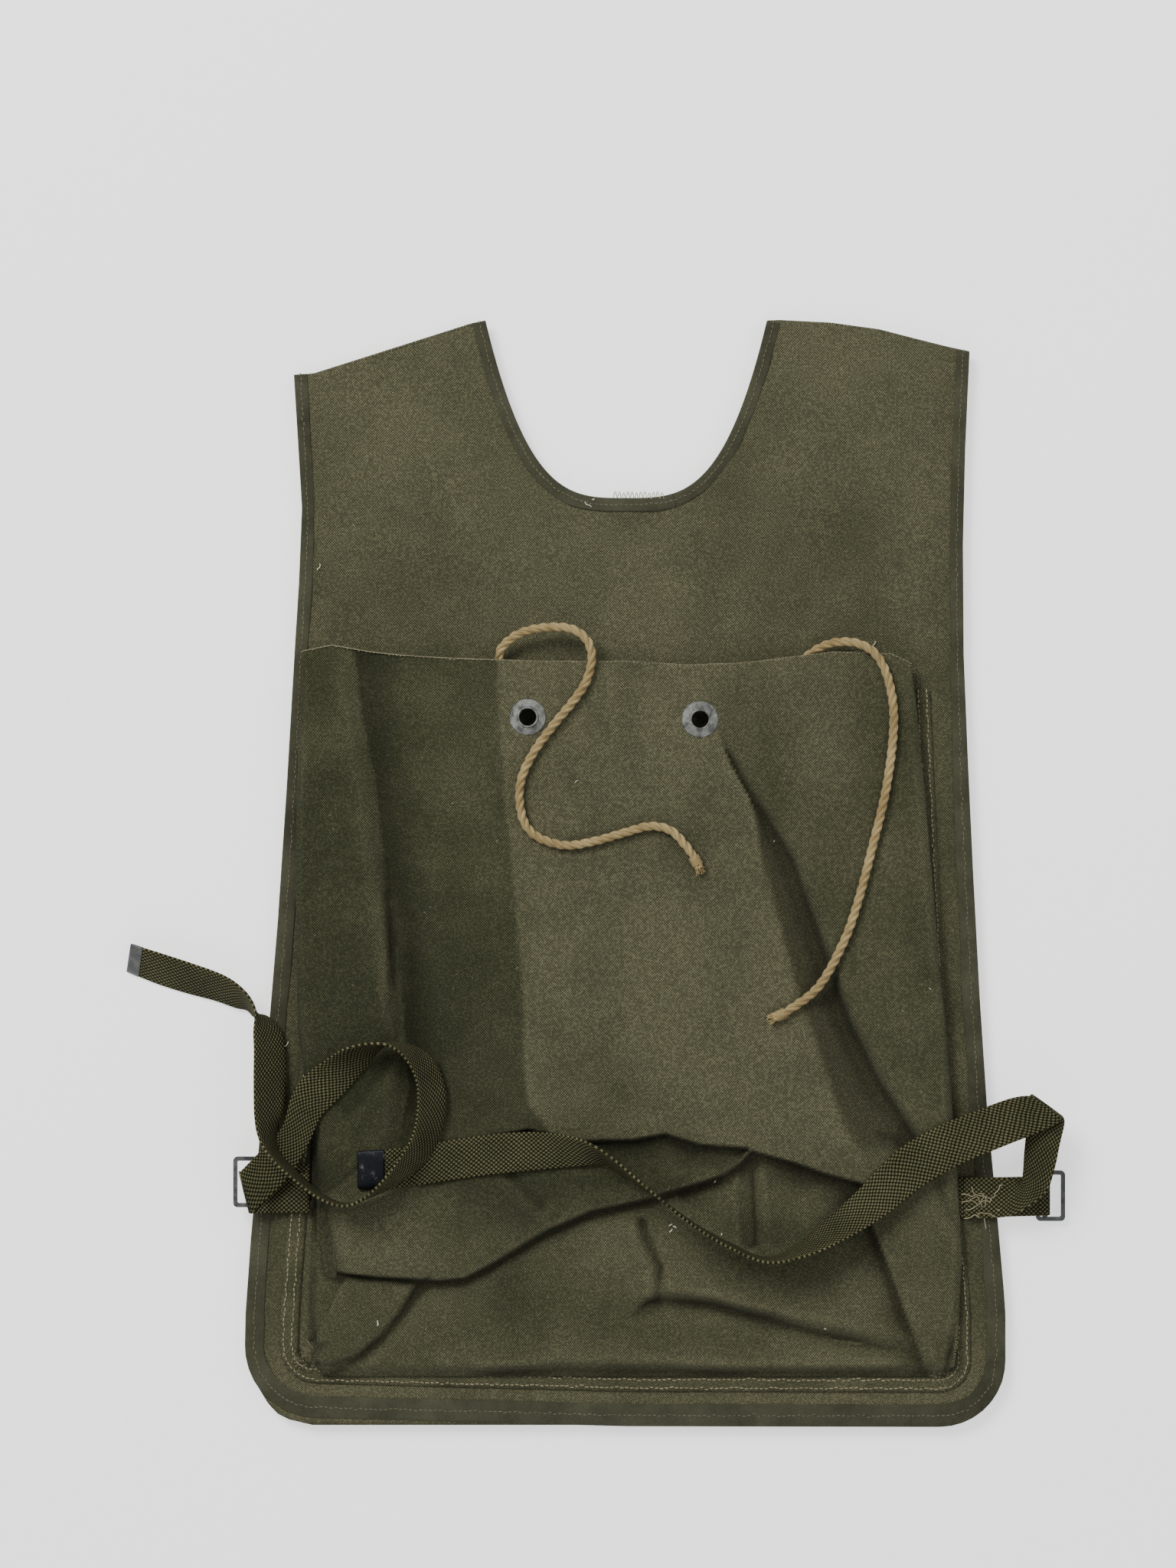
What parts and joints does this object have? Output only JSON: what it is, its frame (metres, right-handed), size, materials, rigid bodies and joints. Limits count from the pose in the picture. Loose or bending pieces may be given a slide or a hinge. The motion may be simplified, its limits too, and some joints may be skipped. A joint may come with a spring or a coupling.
{
  "type": "ammunition carrying bag",
  "caption": "Poncho-style canvas carrying bag with bellows pockets front and rear, rope ties, and webbing waist straps with slotted buckles, lying folded flat.",
  "frame": {"origin": "centre of the rear pocket's flat face, which rests on the ground, on the bag's middle line and level with the middle of its height", "axes": "+Z out of the front half, which lies on top; +Y from the hem to the head opening; +X to the right as seen from above"},
  "size_m": [0.6425, 0.7558, 0.0542],
  "materials": {
    "canvas": "matte worn cotton duck",
    "rear_canvas": "matte worn cotton duck",
    "binding": "matte cotton tape",
    "webbing": "matte coarse webbing",
    "rope": "matte laid cotton rope",
    "hardware": "dull dark zinc",
    "strap_tip": "worn dark lacquer"
  },
  "bodies": {
    "rear_pocket": {"rear_pocket_face": "rear_canvas", "rear_pocket_hem": "rear_canvas", "rear_left_grommet": "hardware", "rear_right_grommet": "hardware", "rear_left_grommet_washer": "hardware", "rear_right_grommet_washer": "hardware"},
    "back": {"back_panel": "rear_canvas", "neck_binding_back": "binding", "edge_binding_back": "binding", "rear_pocket_seam": "rear_canvas", "rear_left_gusset": "rear_canvas", "rear_right_gusset": "rear_canvas", "rear_bottom_gusset": "rear_canvas"},
    "front": {"front_panel": "canvas", "neck_binding_front": "binding", "edge_binding_front": "binding", "front_pocket_seam": "canvas", "front_pocket_face": "canvas", "front_left_gusset": "canvas", "front_right_gusset": "canvas", "front_bottom_gusset": "canvas", "left_rope_keeper": "webbing", "right_rope_keeper": "webbing", "left_buckle_tab": "webbing", "right_buckle_tab": "webbing", "left_strap_end": "webbing", "right_strap_end": "webbing"},
    "front_mouth": {"front_pocket_top": "canvas", "front_pocket_hem": "canvas", "front_left_grommet": "hardware", "front_right_grommet": "hardware", "front_left_grommet_washer": "hardware", "front_right_grommet_washer": "hardware", "left_rope": "rope", "right_rope": "rope", "left_rope_whipping": "rope", "right_rope_whipping": "rope"},
    "left_strap": {"left_strap": "webbing", "left_strap_tip": "strap_tip"},
    "right_strap": {"right_strap": "webbing", "right_strap_tip": "strap_tip"},
    "left_buckle": {"left_buckle": "hardware"},
    "right_buckle": {"right_buckle": "hardware"}
  },
  "joints": [
    {"name": "rear_mouth_open", "type": "hinge", "parent": "rear_pocket", "child": "back", "pos_m": [0, -0.357, 0.004], "axis": [1, 0, 0], "range_deg": [0, 11.5], "deforming": ["rear_left_gusset", "rear_right_gusset", "rear_bottom_gusset"]},
    {"name": "shoulder_fold", "type": "hinge", "parent": "back", "child": "front", "pos_m": [0, 0.379, 0.0095], "axis": [-1, 0, 0], "range_deg": [0, 150]},
    {"name": "front_mouth_open", "type": "hinge", "parent": "front", "child": "front_mouth", "pos_m": [0, -0.1054, 0.0257], "axis": [1, 0, 0], "range_deg": [0, 23], "deforming": ["front_left_gusset", "front_right_gusset", "left_rope", "right_rope"]},
    {"name": "left_strap_swing", "type": "hinge", "parent": "front", "child": "left_strap", "pos_m": [-0.2585, -0.216, 0.0246], "axis": [0, 0, 1], "range_deg": [0, 6]},
    {"name": "right_strap_swing", "type": "hinge", "parent": "front", "child": "right_strap", "pos_m": [0.2845, -0.158, 0.0317], "axis": [0, 0, 1], "range_deg": [-2, 8]},
    {"name": "left_buckle_pivot", "type": "hinge", "parent": "front", "child": "left_buckle", "pos_m": [-0.2542, -0.2095, 0.0158], "axis": [0, 1, 0], "range_deg": [0, 18]},
    {"name": "right_buckle_pivot", "type": "hinge", "parent": "front", "child": "right_buckle", "pos_m": [0.2866, -0.22, 0.006], "axis": [0, -1, 0], "range_deg": [0, 30]}
  ]
}
